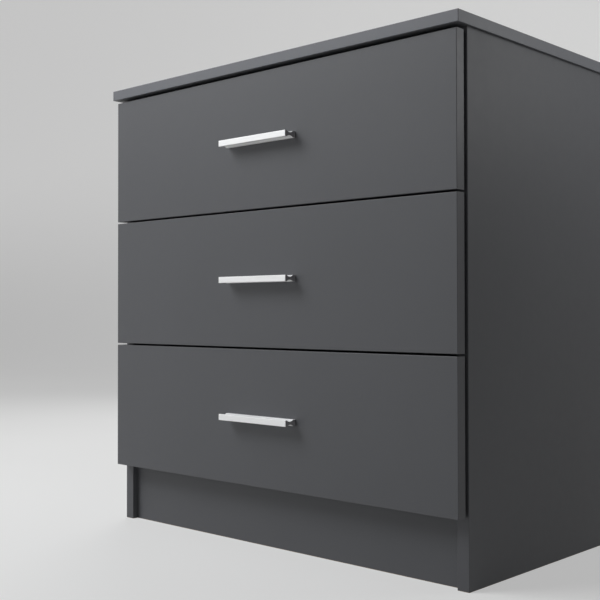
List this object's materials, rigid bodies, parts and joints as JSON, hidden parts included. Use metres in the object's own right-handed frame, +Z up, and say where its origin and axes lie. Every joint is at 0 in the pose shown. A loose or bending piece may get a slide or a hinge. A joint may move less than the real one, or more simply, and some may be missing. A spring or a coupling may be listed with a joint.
{
  "type": "bedside chest of drawers",
  "caption": "Bedside chest with stacked full-width drawers on roller runners, overhanging top, recessed plinth and short bar handles.",
  "frame": {"origin": "on the floor, under the middle of the whole chest with its handles", "axes": "+Z up; +Y towards the wall behind it; +X to the right of someone facing the drawers, which open towards -Y"},
  "size_m": [0.709, 0.4354, 0.733],
  "materials": {
    "anthracite_board": "matte melamine facing, anthracite grey",
    "drawer_board": "matte melamine facing, light grey",
    "hardboard": "raw hardboard",
    "drawer_hardboard": "hardboard with a printed grey face",
    "handle_aluminium": "satin anodised",
    "runner_steel": "white epoxy powder coat",
    "roller_nylon": "white nylon",
    "zinc_fittings": "bright zinc",
    "beech_dowels": "fluted beech"
  },
  "bodies": {
    "carcass": {"top_panel": "anthracite_board", "left_side_panel": "anthracite_board", "right_side_panel": "anthracite_board", "bottom_panel": "anthracite_board", "front_plinth": "anthracite_board", "rear_rail": "anthracite_board", "back_panel": "hardboard", "carcass_cam_bolts": "zinc_fittings", "carcass_cam_locks": "zinc_fittings", "carcass_dowels": "beech_dowels", "back_panel_nails": "zinc_fittings", "cabinet_runner_screws": "zinc_fittings", "bottom_cabinet_runner_left": "runner_steel", "bottom_cabinet_runner_right": "runner_steel", "middle_cabinet_runner_left": "runner_steel", "middle_cabinet_runner_right": "runner_steel", "top_cabinet_runner_left": "runner_steel", "top_cabinet_runner_right": "runner_steel"},
    "bottom_drawer": {"bottom_drawer_front": "anthracite_board", "bottom_drawer_handle": "handle_aluminium", "bottom_drawer_handle_screws": "zinc_fittings", "bottom_drawer_side_left": "drawer_board", "bottom_drawer_side_right": "drawer_board", "bottom_drawer_back": "drawer_board", "bottom_drawer_bottom": "drawer_hardboard", "bottom_drawer_runner_left": "runner_steel", "bottom_drawer_runner_right": "runner_steel", "bottom_drawer_fixings": "zinc_fittings"},
    "bottom_cabinet_roller_left": {"bottom_cabinet_roller_left": "roller_nylon"},
    "bottom_drawer_roller_left": {"bottom_drawer_roller_left": "roller_nylon"},
    "bottom_cabinet_roller_right": {"bottom_cabinet_roller_right": "roller_nylon"},
    "bottom_drawer_roller_right": {"bottom_drawer_roller_right": "roller_nylon"},
    "middle_drawer": {"middle_drawer_front": "anthracite_board", "middle_drawer_handle": "handle_aluminium", "middle_drawer_handle_screws": "zinc_fittings", "middle_drawer_side_left": "drawer_board", "middle_drawer_side_right": "drawer_board", "middle_drawer_back": "drawer_board", "middle_drawer_bottom": "drawer_hardboard", "middle_drawer_runner_left": "runner_steel", "middle_drawer_runner_right": "runner_steel", "middle_drawer_fixings": "zinc_fittings"},
    "middle_cabinet_roller_left": {"middle_cabinet_roller_left": "roller_nylon"},
    "middle_drawer_roller_left": {"middle_drawer_roller_left": "roller_nylon"},
    "middle_cabinet_roller_right": {"middle_cabinet_roller_right": "roller_nylon"},
    "middle_drawer_roller_right": {"middle_drawer_roller_right": "roller_nylon"},
    "top_drawer": {"top_drawer_front": "anthracite_board", "top_drawer_handle": "handle_aluminium", "top_drawer_handle_screws": "zinc_fittings", "top_drawer_side_left": "drawer_board", "top_drawer_side_right": "drawer_board", "top_drawer_back": "drawer_board", "top_drawer_bottom": "drawer_hardboard", "top_drawer_runner_left": "runner_steel", "top_drawer_runner_right": "runner_steel", "top_drawer_fixings": "zinc_fittings"},
    "top_cabinet_roller_left": {"top_cabinet_roller_left": "roller_nylon"},
    "top_drawer_roller_left": {"top_drawer_roller_left": "roller_nylon"},
    "top_cabinet_roller_right": {"top_cabinet_roller_right": "roller_nylon"},
    "top_drawer_roller_right": {"top_drawer_roller_right": "roller_nylon"}
  },
  "joints": [
    {"name": "bottom_drawer_slide", "type": "slide", "parent": "carcass", "child": "bottom_drawer", "axis": [0, -1, 0], "range_m": [0, 0.255]},
    {"name": "bottom_cabinet_roller_left_spin", "type": "hinge", "parent": "carcass", "child": "bottom_cabinet_roller_left", "pos_m": [-0.32725, -0.15875, 0.1342], "axis": [1, 0, 0], "range_deg": [0, 1630]},
    {"name": "bottom_drawer_roller_left_spin", "type": "hinge", "parent": "bottom_drawer", "child": "bottom_drawer_roller_left", "pos_m": [-0.32425, 0.15425, 0.1315], "axis": [1, 0, 0], "range_deg": [0, 1630]},
    {"name": "bottom_cabinet_roller_right_spin", "type": "hinge", "parent": "carcass", "child": "bottom_cabinet_roller_right", "pos_m": [0.32725, -0.15875, 0.1342], "axis": [1, 0, 0], "range_deg": [0, 1630]},
    {"name": "bottom_drawer_roller_right_spin", "type": "hinge", "parent": "bottom_drawer", "child": "bottom_drawer_roller_right", "pos_m": [0.32425, 0.15425, 0.1315], "axis": [1, 0, 0], "range_deg": [0, 1630]},
    {"name": "middle_drawer_slide", "type": "slide", "parent": "carcass", "child": "middle_drawer", "axis": [0, -1, 0], "range_m": [0, 0.255]},
    {"name": "middle_cabinet_roller_left_spin", "type": "hinge", "parent": "carcass", "child": "middle_cabinet_roller_left", "pos_m": [-0.32725, -0.15875, 0.3412], "axis": [1, 0, 0], "range_deg": [0, 1630]},
    {"name": "middle_drawer_roller_left_spin", "type": "hinge", "parent": "middle_drawer", "child": "middle_drawer_roller_left", "pos_m": [-0.32425, 0.15425, 0.3385], "axis": [1, 0, 0], "range_deg": [0, 1630]},
    {"name": "middle_cabinet_roller_right_spin", "type": "hinge", "parent": "carcass", "child": "middle_cabinet_roller_right", "pos_m": [0.32725, -0.15875, 0.3412], "axis": [1, 0, 0], "range_deg": [0, 1630]},
    {"name": "middle_drawer_roller_right_spin", "type": "hinge", "parent": "middle_drawer", "child": "middle_drawer_roller_right", "pos_m": [0.32425, 0.15425, 0.3385], "axis": [1, 0, 0], "range_deg": [0, 1630]},
    {"name": "top_drawer_slide", "type": "slide", "parent": "carcass", "child": "top_drawer", "axis": [0, -1, 0], "range_m": [0, 0.255]},
    {"name": "top_cabinet_roller_left_spin", "type": "hinge", "parent": "carcass", "child": "top_cabinet_roller_left", "pos_m": [-0.32725, -0.15875, 0.5482], "axis": [1, 0, 0], "range_deg": [0, 1630]},
    {"name": "top_drawer_roller_left_spin", "type": "hinge", "parent": "top_drawer", "child": "top_drawer_roller_left", "pos_m": [-0.32425, 0.15425, 0.5455], "axis": [1, 0, 0], "range_deg": [0, 1630]},
    {"name": "top_cabinet_roller_right_spin", "type": "hinge", "parent": "carcass", "child": "top_cabinet_roller_right", "pos_m": [0.32725, -0.15875, 0.5482], "axis": [1, 0, 0], "range_deg": [0, 1630]},
    {"name": "top_drawer_roller_right_spin", "type": "hinge", "parent": "top_drawer", "child": "top_drawer_roller_right", "pos_m": [0.32425, 0.15425, 0.5455], "axis": [1, 0, 0], "range_deg": [0, 1630]}
  ],
  "couplings": [
    {"joint": "bottom_cabinet_roller_left_spin", "follows": "bottom_drawer_slide", "rad_per_m": 111.11},
    {"joint": "bottom_drawer_roller_left_spin", "follows": "bottom_drawer_slide", "rad_per_m": 111.11},
    {"joint": "bottom_cabinet_roller_right_spin", "follows": "bottom_drawer_slide", "rad_per_m": 111.11},
    {"joint": "bottom_drawer_roller_right_spin", "follows": "bottom_drawer_slide", "rad_per_m": 111.11},
    {"joint": "middle_cabinet_roller_left_spin", "follows": "middle_drawer_slide", "rad_per_m": 111.11},
    {"joint": "middle_drawer_roller_left_spin", "follows": "middle_drawer_slide", "rad_per_m": 111.11},
    {"joint": "middle_cabinet_roller_right_spin", "follows": "middle_drawer_slide", "rad_per_m": 111.11},
    {"joint": "middle_drawer_roller_right_spin", "follows": "middle_drawer_slide", "rad_per_m": 111.11},
    {"joint": "top_cabinet_roller_left_spin", "follows": "top_drawer_slide", "rad_per_m": 111.11},
    {"joint": "top_drawer_roller_left_spin", "follows": "top_drawer_slide", "rad_per_m": 111.11},
    {"joint": "top_cabinet_roller_right_spin", "follows": "top_drawer_slide", "rad_per_m": 111.11},
    {"joint": "top_drawer_roller_right_spin", "follows": "top_drawer_slide", "rad_per_m": 111.11}
  ]
}
